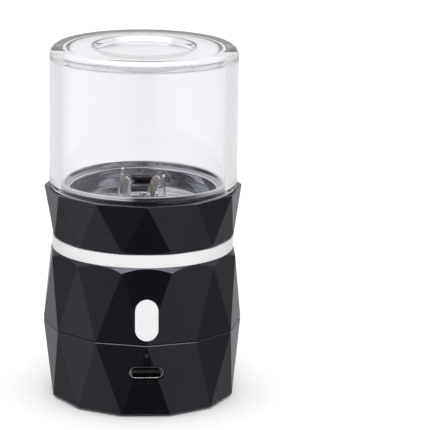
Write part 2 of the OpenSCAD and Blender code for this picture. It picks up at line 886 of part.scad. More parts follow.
// Half of a strip: an arm along +X that turns up into a prong with a round tip.
// reach is where the prong stands, tip its height above the arm, lean its angle outwards
// and sway its angle to the left, seen from the nut.
module prong(reach, tip, lean, sway) {
    bend = blade_bend + blade_t;
    turn = 90 - lean;
    foot = reach - bend;
    straight = (tip - bend + bend * cos(turn)) / sin(turn);
    // Point at the end of the prong that leaves the bend at a radius r
    function end(r) = [foot, bend] + r * [sin(turn), -cos(turn)] + straight * [cos(turn), sin(turn)];
    side_view = concat([[0, 0]], arc(foot, bend, bend, -90, -90 + turn), [end(bend), end(blade_bend)],
                       arc(foot, bend, blade_bend, -90 + turn, -90), [[0, blade_t]]);
    intersection() {
        rotate([90, 0, 0])
            linear_extrude(4 * blade_w, center = true)
                polygon(side_view);
        // Outline seen from the nut
        rotate([90, 0, 90])
            linear_extrude(2 * reach) {
                translate([-blade_w / 2, -over])
                    square([blade_w, bend + over]);
                translate([0, bend])
                    rotate(-sway) {
                        circle(r = blade_w / 2, $fn = 32);
                        translate([0, (tip - bend - blade_w / 2) / 2])
                            square([blade_w, tip - bend - blade_w / 2], center = true);
                        translate([0, tip - bend - blade_w / 2])
                            circle(r = blade_w / 2, $fn = 32);
                    }
            }
    }
}

// Strip on the hub. Each prong is [angle round the axis, reach, height of its tip, lean, sway].
module strip(level, prongs) {
    z = blade_z + level * blade_t;
    color(steel)
        translate([0, 0, z])
            difference() {
                union() {
                    for (p = prongs)
                        rotate(p[0])
                            prong(p[1], p[2] - z, p[3], p[4]);
                    cylinder(h = blade_t, r = hub_r - 0.3);
                }
                translate([0, 0, -over])
                    cylinder(h = blade_t + 2 * over, r = shaft_r + press);
            }
}

module outer_blade() {
    strip(0, [[182, 7.2, rim_z + 3.1, -9, 0], [2, 6, rim_z + 1, -3, 0]]);
}

module cross_blade() {
    strip(1, [[220, 6.6, rim_z + 1.6, 0, 3], [65, 4.6, rim_z + 0.2, 6, -20]]);
}

module inner_blade() {
    strip(2, [[176, 3.7, rim_z - 0.9, 2, 0], [-4, 3.8, rim_z - 3.4, 0, 0]]);
}

// ---------------------------------------------------------------- button and board

switch_face = board_y + switch_d;
plunger_tip = board_y + 1.4;

module power_button() {
    color(white_abs)
        translate([0, 0, button_z]) {
            intersection() {
                facing_front(-button_face - 2, -button_back)
                    tall_capsule(button_w, button_h);
                rotate([-upper_tilt, 0, 0])
                    block([-button_w, -button_face * cos(upper_tilt) - button_proud, -button_h],
                          [button_w, 0, button_h]);
            }
            facing_front(-button_back - button_flange_t, -button_back)
                tall_capsule(button_w + 2 * button_flange, button_h + 2 * button_flange);
            facing_front(-button_back - embed, -plunger_face)
                circle(r = 1.5);
        }
}

module switch_plunger() {
    color(dark_plastic)
        translate([0, 0, button_z])
            facing_front(-plunger_face, -plunger_tip)
                circle(r = plunger_r);
}

module switch_body() {
    color("#3b3c40")
        translate([0, 0, button_z])
            difference() {
                facing_front(-switch_face, -board_y)
                    square(switch_w, center = true);
                facing_front(-switch_face - over, -plunger_tip + button_travel + run)
                    circle(r = plunger_r + 2 * slip);
            }
}

module light_pipe() {
    color("#e9edf0")
        translate([0, 0, light_z]) {
            facing_front(-light_face + 0.15, -board_y - 1)
                circle(r = light_r);
        }
}

module indicator_led() {
    color("#f4f1d8")
        translate([0, 0, light_z])
            facing_front(-board_y - 0.7, -board_y)
                square([1.6, 0.8], center = true);
}

module control_board() {
    color(board_green)
        block([-board_w / 2, -board_y, board_z], [board_w / 2, board_back, board_z + board_h]);
}

module usb_shell() {
    mouth = port_face - port_inset;
    color(steel)
        translate([0, 0, port_z])
            difference() {
                facing_front(-mouth, -board_y)
                    wide_capsule(port_w, port_h);
                facing_front(-mouth - over, -board_y - 0.8)
                    wide_capsule(port_w - 2 * port_sheet, port_h - 2 * port_sheet);
            }
}

module usb_tongue() {
    mouth = port_face - port_inset;
    color(dark_plastic)
        translate([0, 0, port_z])
            facing_front(-mouth + 0.8, -board_y - 0.8)
                square([6.7, 0.7], center = true);
}

module usb_contacts() {
    mouth = port_face - port_inset;
    color(brass)
        for (i = [-3:3])
            for (face = [-1, 1])
                translate([i * 0.85, 0, port_z + face * 0.4])
                    facing_front(-mouth + 1.3, -mouth + 4.6)
                        square([0.4, 0.1], center = true);
}

// Box on the back of the board, its middle at [x, height above the board's foot]
module board_part(middle, size, t) {
    corner = [middle[0] - size[0] / 2, board_back, board_z + middle[1] - size[1] / 2];
    block(corner, corner + [size[0], t, size[1]]);
}

module charge_chip() {
    color(dark_plastic)
        board_part([0, chip_rise], [5, 5], 1.2);
}

module charge_coil() {
    color("#6a6b70")
        board_part([0, board_h - 3], [4, 4], 1.8);
}

module board_capacitors() {
    color("#b9a27c")
        for (x = [-8, -5, 5, 8])
            board_part([x, chip_rise], [1.6, 1], 0.9);
}

module battery_socket() {
    color("#ecebe6")
        board_part(plug_at, [plug_w + 1, plug_h + 0.8], socket_t);
}

module battery_plug() {
    color("#f6f5f0")
        translate([0, socket_t, 0])
            board_part(plug_at, [plug_w, plug_h], plug_t);
}

module battery_cell() {
    cell_z = board_z + cell_pad_t;
    color("#b7bcc2")
        block([-cell_w / 2, cell_front, cell_z], [cell_w / 2, cell_front + cell_l, cell_z + cell_t]);
}

module cell_pad() {
    color("#4a4a4c")
        block([-cell_w / 2 + 1, cell_front + cell_l / 6, board_z],
              [cell_w / 2 - 1, cell_front + 5 / 6 * cell_l, board_z + cell_pad_t]);
}

// Lead from the front of the cell up to the plug
module battery_lead(x) {
    from_z = board_z + 5;
    plug_y = board_back + socket_t + plug_t / 2;
    plug_z = board_z + plug_at[1] - plug_h / 2;
    lead([[x, cell_front, from_z], [x, cell_front - 0.4, from_z], [x, cell_front - 0.8, from_z + 0.3],
          [x, cell_front - 1, from_z + 0.9], [x, cell_front - 0.9, from_z + 2.5],
          [x, plug_y - 0.2, plug_z - 2], [x, plug_y, plug_z - 1], [x, plug_y, plug_z]]);
}

module battery_lead_red() {
    color("red")
        battery_lead(plug_at[0] + 1);
}

module battery_lead_black() {
    color("black")
        battery_lead(plug_at[0] - 1);
}

// Lead from a terminal round the motor to the back of the board
module motor_lead(side) {
    tab_z = motor_back_z - terminal_l + 0.6;
    board_x = board_w / 2 - 1.2;
    lead([[side * (terminal_x + terminal_t / 2), 0, tab_z], [side * (terminal_x + 1), 0, tab_z],
          [side * (terminal_x + 1.9), -0.6, tab_z - 0.1], [side * (terminal_x + 2.8), -3, tab_z - 0.3],
          [side * (terminal_x + 3.5), -8, tab_z], [side * (terminal_x + 3.3), -11.5, tab_z + 1.6],
          [side * (board_x + 0.1), board_back + 1.9, tab_z + 3.6],
          [side * board_x, board_back + 1.1, tab_z + 4.1], [side * board_x, board_back, tab_z + 4.2]]);
}

module motor_lead_red() {
    color("red")
        motor_lead(1);
}

module motor_lead_black() {
    color("black")
        motor_lead(-1);
}

glass_jar();
lid_collar();
neck_seal();
threaded_neck();
accent_ring();
grinding_bowl();
shaft_seal();
upper_housing();
lower_housing();
foot_pad();
housing_screws();
neck_screws();
motor_screws();
motor_can();
motor_magnets();
motor_front_bushing();
motor_end_bell();
motor_rear_bushing();
motor_brushes();
motor_terminals();
motor_shaft();
armature_core();
armature_windings();
commutator();
blade_hub();
outer_blade();
cross_blade();
inner_blade();
blade_washer();
blade_nut();
power_button();
switch_plunger();
switch_body();
light_pipe();
indicator_led();
control_board();
charge_chip();
charge_coil();
board_capacitors();
battery_socket();
battery_plug();
usb_shell();
usb_tongue();
usb_contacts();
battery_cell();
cell_pad();
battery_lead_red();
battery_lead_black();
motor_lead_red();
motor_lead_black();
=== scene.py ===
# %% [markdown]
# # A rechargeable herb and spice grinder
# The grinder stands on a faceted black body with a motor and a battery in it, topped by a white
# ring. Its lid is a faceted collar with a thick glass jar in it, which screws down over a steel
# bowl and its blades. The solids come from the shared frame. This lesson gives them their
# finishes, and remakes the pieces whose curves and edges show.

import json
from math import cos, pi, radians, sin

import bmesh
import bpy
from mathutils import Matrix, Vector

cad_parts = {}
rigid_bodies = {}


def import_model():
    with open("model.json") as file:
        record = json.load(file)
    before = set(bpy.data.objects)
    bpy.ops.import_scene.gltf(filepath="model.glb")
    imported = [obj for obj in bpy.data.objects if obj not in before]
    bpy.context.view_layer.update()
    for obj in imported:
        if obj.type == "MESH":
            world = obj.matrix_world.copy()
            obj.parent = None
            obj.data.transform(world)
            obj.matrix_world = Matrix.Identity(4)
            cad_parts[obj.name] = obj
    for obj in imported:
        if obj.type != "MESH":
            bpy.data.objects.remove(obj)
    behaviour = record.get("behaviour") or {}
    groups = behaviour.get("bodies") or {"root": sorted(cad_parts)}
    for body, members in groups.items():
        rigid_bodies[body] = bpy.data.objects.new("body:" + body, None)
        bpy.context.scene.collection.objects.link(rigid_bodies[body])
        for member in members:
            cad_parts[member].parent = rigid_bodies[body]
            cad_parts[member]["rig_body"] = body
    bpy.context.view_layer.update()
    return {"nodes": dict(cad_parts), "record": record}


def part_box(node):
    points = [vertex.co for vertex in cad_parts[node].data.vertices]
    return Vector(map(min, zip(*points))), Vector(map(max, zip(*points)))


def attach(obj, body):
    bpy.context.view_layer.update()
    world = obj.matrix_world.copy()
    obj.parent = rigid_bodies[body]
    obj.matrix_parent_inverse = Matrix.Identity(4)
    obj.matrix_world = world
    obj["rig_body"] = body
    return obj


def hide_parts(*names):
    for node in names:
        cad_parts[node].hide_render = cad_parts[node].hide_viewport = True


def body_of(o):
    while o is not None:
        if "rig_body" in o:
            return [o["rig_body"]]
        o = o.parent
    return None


MM = 0.001               # a millimetre, in the metres of the scene
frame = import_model()
slots = {part["node"]: part["material_slot"] for part in frame["record"]["subparts"]}
print("loaded", len(frame["nodes"]), "solids")

# %% [markdown]
# ## Camera
# A long lens from about three quarters of a metre keeps the sides of the grinder nearly parallel.
# The camera stands a little to the left of the front and looks down by 14 degrees. The object is
# low and left in its frame, so the lens is shifted rather than turned, which keeps the uprights
# upright. It is rolled by half a degree, because the grinder leans by that much in the frame.

# %% Camera
IMAGE = 430              # pixels along each side of the frame
FOCAL = 2852             # focal length in the same pixels
SENSOR = 36              # width of the camera's sensor, in millimetres
DISTANCE = 0.7459        # from the camera to the point that it aims at, in metres
AIM = Vector((0, 0, 52.5)) * MM
AIM_PIXEL = (143.1, 197.75)      # where that point lies in the frame, from its top left corner
TURN, RISE, ROLL = radians(2.7), radians(13.85), radians(0.45)
NEAREST, FARTHEST = 0.05, 50     # what is drawn, in metres from the camera

back = Vector((-sin(TURN) * cos(RISE), -cos(TURN) * cos(RISE), sin(RISE)))
lens = bpy.data.cameras.new("camera")
lens.sensor_width = SENSOR
lens.lens = FOCAL / IMAGE * lens.sensor_width
lens.shift_x = (IMAGE / 2 - AIM_PIXEL[0]) / IMAGE
lens.shift_y = (AIM_PIXEL[1] - IMAGE / 2) / IMAGE
lens.clip_start, lens.clip_end = NEAREST, FARTHEST
camera = bpy.data.objects.new("camera", lens)
level = (-back).to_track_quat("-Z", "Y")
camera.rotation_mode = "QUATERNION"
camera.rotation_quaternion = level @ Matrix.Rotation(ROLL, 4, "Z").to_quaternion()
camera.location = AIM + DISTANCE * back
bpy.context.scene.collection.objects.link(camera)
bpy.context.scene.camera = camera
print("lens", round(lens.lens, 1), "mm")


# %% [markdown]
# ## Studio
# Black gloss has hardly any colour of its own, so its facets show what stands round them. The
# world is a ring of pale cards with dark gaps between them: a gap at the front where the camera
# stands, a tall card on each side of it, a gap beside each card, and a pale backdrop. The ceiling
# is white. Two helpers come first, one for colours and one for the nodes of world and materials.

# %% Colour and node helpers
def linear(code):
    """Turns an sRGB code such as "1c1d20" into the linear colour that shaders take."""
    parts = [int(code[i:i + 2], 16) / 255 for i in (0, 2, 4)]
    return [p / 12.92 if p <= 0.04045 else ((p + 0.055) / 1.055) ** 2.4 for p in parts] + [1]


def add(tree, kind, inputs, stops=(), **settings):
    """Adds a node, makes its settings, and fills or links its inputs. A colour ramp also takes
    its stops, each as (place from 0 to 1, colour)."""
    made = tree.nodes.new(kind)
    for name, value in settings.items():
        setattr(made, name, value)
    for socket, value in inputs.items():
        if isinstance(value, bpy.types.NodeSocket):
            tree.links.new(value, made.inputs[socket])
        else:
            made.inputs[socket].default_value = value
    if stops:
        band = made.color_ramp
        for _ in stops[2:]:
            band.elements.new(0.5)
        for element, (place, colour) in zip(band.elements, stops):
            element.position = place
            element.color = colour
    return made


print("a middle grey is", round(linear("808080")[0], 3), "in linear light")

# %% [markdown]
# ### Cards of the tent
# The cards are two lists of brightness round the horizon. One is for the outside of the grinder.
# The other is for what is mirrored inside the jar, where a wider dark gap at the front gives the
# polished bowl something dark to show. Without it, steel looks like white plastic.

# %% Cards
# Brightness by the angle from straight ahead of the grinder, in degrees, positive to the right
CARDS = [(-180, 0.85), (-150, 0.64), (-132, 0.28), (-112, 0.24), (-100, 0.8), (-80, 0.8),
         (-60, 0.66), (-40, 0.3), (-12, 0.08), (10, 0.05), (22, 0.5), (34, 0.75), (50, 0.78),
         (66, 0.66), (80, 0.35), (98, 0.24), (130, 0.27), (152, 0.68), (180, 0.85)]
INNER_CARDS = [(-180, 0.92), (-130, 0.9), (-100, 0.85), (-60, 0.95), (-28, 0.8), (-12, 0.05),
               (50, 0.02), (72, 0.2), (95, 0.65), (130, 0.9), (180, 0.92)]
WHITE = 1.0
SOFTBOX = 9.0            # brightness of a lamp box straight above
# Heights of the line of sight, as the sine of its rise, between which each of them fades in
CEILING_FADE, INNER_CEILING_FADE, SOFTBOX_FADE = (0.3, 0.6), (0.85, 0.97), (0.78, 0.92)
print("tent of", len(CARDS), "card edges, and", len(INNER_CARDS), "for the inside of the jar")

# %% Tent
world = bpy.data.worlds.new("white_tent")
bpy.context.scene.world = world
world.use_nodes = True
tree = world.node_tree
sight = add(tree, "ShaderNodeTexCoord", {})
axes = add(tree, "ShaderNodeSeparateXYZ", {"Vector": sight.outputs["Generated"]})
ahead = add(tree, "ShaderNodeMath", {0: axes.outputs["Y"], 1: -1.0}, operation="MULTIPLY")
angle = add(tree, "ShaderNodeMath", {0: axes.outputs["X"], 1: ahead.outputs["Value"]},
            operation="ARCTAN2")
around = add(tree, "ShaderNodeMapRange", {"Value": angle.outputs["Value"],
                                          "From Min": -pi, "From Max": pi})


def tent(cards, fade):
    """Brightness of a ring of cards under a white ceiling, which fades in between two heights."""
    low, high = fade
    ring = add(tree, "ShaderNodeValToRGB", {"Fac": around.outputs["Result"]},
               stops=[((turn + 180) / 360, (grey, grey, grey, 1)) for turn, grey in cards])
    over = add(tree, "ShaderNodeMapRange", {"Value": axes.outputs["Z"], "From Min": low,
                                            "From Max": high}, interpolation_type="SMOOTHSTEP")
    both = add(tree, "ShaderNodeMix", {"Factor": over.outputs["Result"],
                                       "A": ring.outputs["Color"], "B": WHITE})
    return both.outputs["Result"]


outside, inside = tent(CARDS, CEILING_FADE), tent(INNER_CARDS, INNER_CEILING_FADE)
print("tents of", len(tree.nodes), "nodes")

# %% [markdown]
# ### What each ray sees
# A ray that a matt surface scattered sees the outer tent alone, which keeps the light even. One
# that passed through glass sees the inner cards. One that was mirrored outside the glass also sees
# the lamp box, from which rounded edges that face up take their highlights. Straight sight, also
# through the jar, meets plain white, so that the clear glass stands before a clean ground.

# %% Rays
ray = add(tree, "ShaderNodeLightPath", {}).outputs
unscattered = add(tree, "ShaderNodeMath", {0: ray["Diffuse Depth"], 1: 0.5},
                  operation="LESS_THAN")
sharp = unscattered.outputs["Value"]
passed = add(tree, "ShaderNodeMath", {0: ray["Transmission Depth"], 1: 0.5},
             operation="GREATER_THAN")
within = add(tree, "ShaderNodeMath", {0: passed.outputs["Value"], 1: sharp},
             operation="MULTIPLY")
unmirrored = add(tree, "ShaderNodeMath", {0: ray["Glossy Depth"], 1: 0.5},
                 operation="LESS_THAN")
straight = add(tree, "ShaderNodeMath", {0: unmirrored.outputs["Value"], 1: sharp},
               operation="MULTIPLY")
low, high = SOFTBOX_FADE
overhead = add(tree, "ShaderNodeMapRange", {"Value": axes.outputs["Z"], "From Min": low,
                                            "From Max": high, "To Max": sharp},
               interpolation_type="SMOOTHSTEP")
boxed = add(tree, "ShaderNodeMix", {"Factor": overhead.outputs["Result"], "A": outside,
                                    "B": SOFTBOX})
seen = add(tree, "ShaderNodeMix", {"Factor": within.outputs["Value"],
                                   "A": boxed.outputs["Result"], "B": inside})
shown = add(tree, "ShaderNodeMix", {"Factor": straight.outputs["Value"],
                                    "A": seen.outputs["Result"], "B": WHITE})
tree.links.new(shown.outputs["Result"], tree.nodes["Background"].inputs["Strength"])
tree.nodes["Background"].inputs["Color"].default_value = linear("ffffff")
bpy.context.scene.view_settings.view_transform = "Standard"
print("world of", len(tree.nodes), "nodes")


# %% [markdown]
# ### Lamps
# Two lamps help the tent. One shines from the camera's side on the white ring and button, and one
# straight down, broad and soft, so that the floor is as pale as the paper that it stands for.
# Neither shows in gloss or glass.

# %% Lamps
def lamp(name, kind, place, **settings):
    """A lamp aimed at the middle of the grinder, unseen in gloss and through glass."""
    light = bpy.data.lights.new(name, kind)
    for setting, value in settings.items():
        setattr(light, setting, value)
    made = bpy.data.objects.new(name, light)
    made.location = place
    made.rotation_mode = "QUATERNION"
    made.rotation_quaternion = (AIM - made.location).to_track_quat("-Z", "Y")
    made.visible_glossy = False
    made.visible_transmission = False
    bpy.context.scene.collection.objects.link(made)
    print(name, "at", [round(metres, 2) for metres in place])


lamp("front_lamp", "AREA", Vector((-0.04, -0.8, 0.4)), energy=2.2, size=0.4)
lamp("overhead_lamp", "SUN", Vector((0, 0, 2)), energy=0.9, angle=radians(70))


# %% [markdown]
# ## Finishes
# Every material starts from the real one and how its surface was made: its colour, how glossy the
# mould, die or wheel left it, and the grain that breaks up its reflections. Sizes of grain are
# real ones in millimetres, and a few that would be too fine to see are drawn coarser, as noted.

# %% Material helpers
materials = {}           # each by the slot of the frame that it finishes


def finish(name, code, **values):
    """A new material with its shader's own sockets set. Returns it with its tree and shader."""
    made = bpy.data.materials.new(name)
    made.use_nodes = True
    shader = made.node_tree.nodes["Principled BSDF"]
    shader.inputs["Base Color"].default_value = linear(code)
    for socket, value in values.items():
        shader.inputs[socket.replace("_", " ")].default_value = value
    print("finish", name)
    return made, made.node_tree, shader


def emboss(tree, shader, height, strength, depth):
    """Bumps a surface by a pattern's value, depth in millimetres."""
    bumped = add(tree, "ShaderNodeBump", {"Height": height, "Strength": strength,
                                          "Distance": depth * MM})
    tree.links.new(bumped.outputs["Normal"], shader.inputs["Normal"])


def grain(tree, shader, size, bump, rough, spread, stretch=(1, 1, 1)):
    """Fine noise, size in millimetres, that bumps a surface and varies its roughness by spread
    to both sides. Returns the noise's value."""
    place = add(tree, "ShaderNodeTexCoord", {})
    scaled = add(tree, "ShaderNodeMapping", {"Vector": place.outputs["Object"],
                                             "Scale": stretch})
    noise = add(tree, "ShaderNodeTexNoise", {"Vector": scaled.outputs["Vector"],
                                             "Scale": 1 / (size * MM), "Detail": 3.0})
    gloss = add(tree, "ShaderNodeMapRange", {"Value": noise.outputs["Fac"],
                                             "From Min": 0.3, "From Max": 0.7,
                                             "To Min": rough - spread,
                                             "To Max": rough + spread})
    tree.links.new(gloss.outputs["Result"], shader.inputs["Roughness"])
    emboss(tree, shader, noise.outputs["Fac"], bump, size / 3)
    return noise.outputs["Fac"]


def tint(tree, shader, value, dark, light, low=0.35, high=0.65):
    """Colours a surface between two codes by a pattern's value."""
    made = add(tree, "ShaderNodeValToRGB", {"Fac": value},
               stops=[(low, linear(dark)), (high, linear(light))])
    tree.links.new(made.outputs["Color"], shader.inputs["Base Color"])


# %% [markdown]
# ### Plastics
# The black shells are ABS from a polished mould. Its own colour is almost nothing, so what it
# mirrors is all that parts one facet from the next, and a fine grain keeps the mirror soft.
# The ring and the button are the same plastic in white.

# %% Black and white ABS
materials["black_abs"], tree, shader = finish("moulded_black_abs", "08080c", IOR=1.5,
                                              Specular_Tint=linear("e2e5ff"))
grain(tree, shader, size=0.12, bump=0.03, rough=0.26, spread=0.04)
materials["white_abs"], tree, shader = finish("moulded_white_abs", "dededf", IOR=1.5,
                                              Subsurface_Weight=0.1, Subsurface_Scale=1 * MM)
grain(tree, shader, size=0.12, bump=0.04, rough=0.3, spread=0.05)

# %% [markdown]
# The hidden plastics are duller: glass-filled PBT round the motor and switch, nylon at the plug
# and the light, and PVC on the leads, which is a little waxy. The light pipe is smoked
# polycarbonate, so that its hole looks dark until the lamp behind it is lit.

# %% Hidden plastics
materials["dark_plastic"], tree, shader = finish("moulded_pbt", "1b1b1d", IOR=1.55)
noise = grain(tree, shader, size=0.1, bump=0.15, rough=0.45, spread=0.08)
tint(tree, shader, noise, "161618", "222225")
materials["light_plastic"], tree, shader = finish("moulded_nylon", "ece9de", IOR=1.53,
                                                  Subsurface_Weight=0.2,
                                                  Subsurface_Scale=1 * MM)
noise = grain(tree, shader, size=0.3, bump=0.05, rough=0.35, spread=0.05)
tint(tree, shader, noise, "e4e1d5", "f3f1ea")
smoked, tree, shader = finish("smoked_polycarbonate", "27272b", IOR=1.58)
noise = grain(tree, shader, size=0.3, bump=0.03, rough=0.12, spread=0.04)
tint(tree, shader, noise, "222226", "303035")
for slot, dark, light in (("red_lead", "9a1412", "b01c18"), ("black_lead", "101011", "1a1a1c")):
    materials[slot], tree, shader = finish("pvc_" + slot, light, IOR=1.53)
    noise = grain(tree, shader, size=0.8, bump=0.1, rough=0.4, spread=0.06)
    tint(tree, shader, noise, dark, light)

# %% [markdown]
# ### Rubber and foam
# The foot and the seals are nitrile rubber, matt, with a faint bloom of lighter patches. The pad
# under the cell is foam, whose cut surface is a field of small open cells, each coloured darker
# towards its pit as painted shade.

# %% Rubber and foam
FOAM_CELL = 0.35         # width of an open cell, in millimetres
materials["black_rubber"], tree, shader = finish("moulded_nitrile_rubber", "1a1a1b", IOR=1.5)
noise = grain(tree, shader, size=0.25, bump=0.3, rough=0.72, spread=0.08)
tint(tree, shader, noise, "171718", "232324")
materials["foam"], tree, shader = finish("cut_eva_foam", "3c3c3e", IOR=1.45, Roughness=0.9)
place = add(tree, "ShaderNodeTexCoord", {})
cells_with_painted_shade = add(tree, "ShaderNodeTexVoronoi", {"Vector": place.outputs["Object"],
                                           "Scale": 1 / (FOAM_CELL * MM)})
# Painted shade: each open cell is coloured darker towards its pit.
tint(tree, shader, cells_with_painted_shade.outputs["Distance"], "2c2c2e", "515154", low=0.1, high=0.7)
emboss(tree, shader, cells_with_painted_shade.outputs["Distance"], strength=0.6, depth=0.15)

# %% [markdown]
# ### Glass
# Pressed soda-lime glass is clear and smooth, with faint upright ripples where it chilled against
# the mould. A little of the light is lost in it, as a thick wall looks greyer than a thin one.
# Light that runs along inside the wall turns many times before it comes out, so more turns are
# allowed.

# %% Glass
RIPPLE = 5               # width of a ripple, in millimetres
UPRIGHT = (1, 1, 0.12)   # draws a pattern out to eight times its width in height
LIGHT_TURNS = 32         # how often light may turn before it is given up
materials["jar_glass"], tree, shader = finish("pressed_soda_lime_glass", "f5f5f8", IOR=1.5,
                                              Roughness=0.0, Transmission_Weight=1.0)
place = add(tree, "ShaderNodeTexCoord", {})
drawn_out = add(tree, "ShaderNodeMapping", {"Vector": place.outputs["Object"],
                                            "Scale": UPRIGHT})
ripple = add(tree, "ShaderNodeTexNoise", {"Vector": drawn_out.outputs["Vector"],
                                          "Scale": 1 / (RIPPLE * MM), "Detail": 1.0})
emboss(tree, shader, ripple.outputs["Fac"], strength=0.15, depth=0.1)
for limit in ("max_bounces", "glossy_bounces", "transmission_bounces"):
    setattr(bpy.context.scene.cycles, limit, LIGHT_TURNS)


# %% [markdown]
# ### Steel
# The bowl was polished while it turned, which leaves rings too fine to see one by one, drawn here
# 0.6 mm apart. They follow the distance from the axis and the height added together, so that they
# run round both the floor and the wall. The blades are stamped and barrel-finished, warmer and
# less sharp than the bowl. Small fasteners are nickel plated, and the motor's can is zinc plated,
# with upright marks from the drawing die.

# %% Bowl and blade steel
def from_axis(tree):
    """Distance from the grinder's axis, and height, of each point of a surface, in metres."""
    place = add(tree, "ShaderNodeTexCoord", {})
    parts = add(tree, "ShaderNodeSeparateXYZ", {"Vector": place.outputs["Object"]})
    flat = add(tree, "ShaderNodeCombineXYZ", {"X": parts.outputs["X"], "Y": parts.outputs["Y"]})
    length = add(tree, "ShaderNodeVectorMath", {0: flat.outputs["Vector"]}, operation="LENGTH")
    return length.outputs["Value"], parts.outputs["Z"]


POLISH_PITCH = 0.6       # from one polishing ring to the next, in millimetres
materials["bowl_steel"], tree, shader = finish("polished_stainless", "c4c5c9", Metallic=1.0)
out, rise = from_axis(tree)
along = add(tree, "ShaderNodeMath", {0: out, 1: rise}, operation="ADD")
rings = add(tree, "ShaderNodeTexNoise", {"W": along.outputs["Value"],
                                         "Scale": 1 / (POLISH_PITCH * MM), "Detail": 1.0},
            noise_dimensions="1D")
gloss = add(tree, "ShaderNodeMapRange", {"Value": rings.outputs["Fac"],
                                         "From Min": 0.3, "From Max": 0.7,
                                         "To Min": 0.01, "To Max": 0.07})
tree.links.new(gloss.outputs["Result"], shader.inputs["Roughness"])
tint(tree, shader, rings.outputs["Fac"], "b4b5ba", "e2e3e7")
materials["blade_steel"], tree, shader = finish("barrel_finished_stainless", "f6f1e8",
                                                Metallic=0.85)
noise = grain(tree, shader, size=0.35, bump=0.06, rough=0.16, spread=0.04)
tint(tree, shader, noise, "efe9de", "fbf8f2")

# %% Plated steel
materials["bright_steel"], tree, shader = finish("nickel_plated_steel", "dcdcdb", Metallic=1.0)
noise = grain(tree, shader, size=0.2, bump=0.04, rough=0.15, spread=0.05)
tint(tree, shader, noise, "c6c6c5", "dadad9")
materials["plated_can"], tree, shader = finish("zinc_plated_steel", "b4b7ba", Metallic=1.0)
noise = grain(tree, shader, size=0.3, bump=0.05, rough=0.28, spread=0.06, stretch=(1, 1, 0.06))
tint(tree, shader, noise, "a8abaf", "c0c3c6")


# %% [markdown]
# ### Brass, bronze and copper
# Turned brass carries rings from the lathe. The hub under the blades is brass coloured near-black,
# a painted dark reflection that leaves the middle of the bowl dark. The bushings are sintered
# bronze, pressed from powder, so they are speckled with pores. Bare copper is a little uneven in
# colour. The windings are enamelled wire, drawn as ridges at the wire's pitch round the axis,
# which run lengthwise on the sides of a coil. Their colour is darker in the grooves and lighter on
# the crowns, painted shade and painted highlight that follow the ridges.

# %% Brass and bronze
def lines(tree, value, pitch):
    """Smooth ridges that repeat each pitch, in millimetres, of a value in metres."""
    turns = add(tree, "ShaderNodeMath", {0: value, 1: 2 * pi / (pitch * MM)},
                operation="MULTIPLY")
    wave = add(tree, "ShaderNodeMath", {0: turns.outputs["Value"]}, operation="SINE")
    return wave.outputs["Value"]


LATHE_PITCH = 0.25       # from one turning ring to the next, in millimetres
materials["brass"], tree, shader = finish("turned_brass", "d0a558", Metallic=1.0,
                                          Roughness=0.24)
out, rise = from_axis(tree)
emboss(tree, shader, lines(tree, out, LATHE_PITCH), strength=0.1, depth=0.03)
# Painted dark reflection: the hub is coloured near-black so that the middle of the bowl shows
# dark.
hub_painted_reflection, tree, shader = finish("near_black_brass_painted_reflection", "1d1c1b", Metallic=1.0)
noise = grain(tree, shader, size=0.25, bump=0.05, rough=0.35, spread=0.05)
tint(tree, shader, noise, "191817", "22211f")
materials["bronze"], tree, shader = finish("sintered_bronze", "8f6a3e", Metallic=1.0)
noise = grain(tree, shader, size=0.15, bump=0.4, rough=0.45, spread=0.1)
tint(tree, shader, noise, "6b4a28", "a37a48")

# %% Copper
WIRE_PITCH = 0.3         # width of the winding's wire, in millimetres
materials["copper"], tree, shader = finish("worked_copper", "c87348", Metallic=1.0)
noise = grain(tree, shader, size=0.25, bump=0.08, rough=0.28, spread=0.06)
tint(tree, shader, noise, "b8653d", "d08055")
winding, tree, shader = finish("enamelled_copper_wire_painted_groove_shade", "b4562a", Metallic=1.0, Roughness=0.25,
                               Coat_Weight=0.6)
out, rise = from_axis(tree)
wire_ridges_painted_shade = lines(tree, out, WIRE_PITCH)
# Painted shade in the grooves between wires and painted highlight on their crowns.
tint(tree, shader, wire_ridges_painted_shade, "7c3214", "cc6c38", low=0.1, high=0.7)
emboss(tree, shader, wire_ridges_painted_shade, strength=0.8, depth=0.12)

# %% [markdown]
# ### Motor iron, board and cell
# The armature is a stack of thin sheets, each a line in its side. The magnets are ferrite, a dark
# ceramic. The board is green solder mask, paler where copper runs under it, and its small
# capacitors are fired ceramic, a matt tan. The cell is wrapped in foil that creases over its
# contents.

# %% Motor iron
SHEET_PITCH = 0.5        # thickness of the armature's sheets, in millimetres
laminated, tree, shader = finish("laminated_silicon_steel", "8c8e92", Metallic=1.0,
                                 Roughness=0.38)
out, rise = from_axis(tree)
sheets = lines(tree, rise, SHEET_PITCH)
tint(tree, shader, sheets, "5e6064", "a0a2a6", low=0.1, high=0.6)
emboss(tree, shader, sheets, strength=0.5, depth=0.08)
materials["magnet"], tree, shader = finish("sintered_ferrite", "2e2e31", IOR=1.9)
noise = grain(tree, shader, size=0.2, bump=0.3, rough=0.55, spread=0.08)
tint(tree, shader, noise, "252528", "3c3c40")

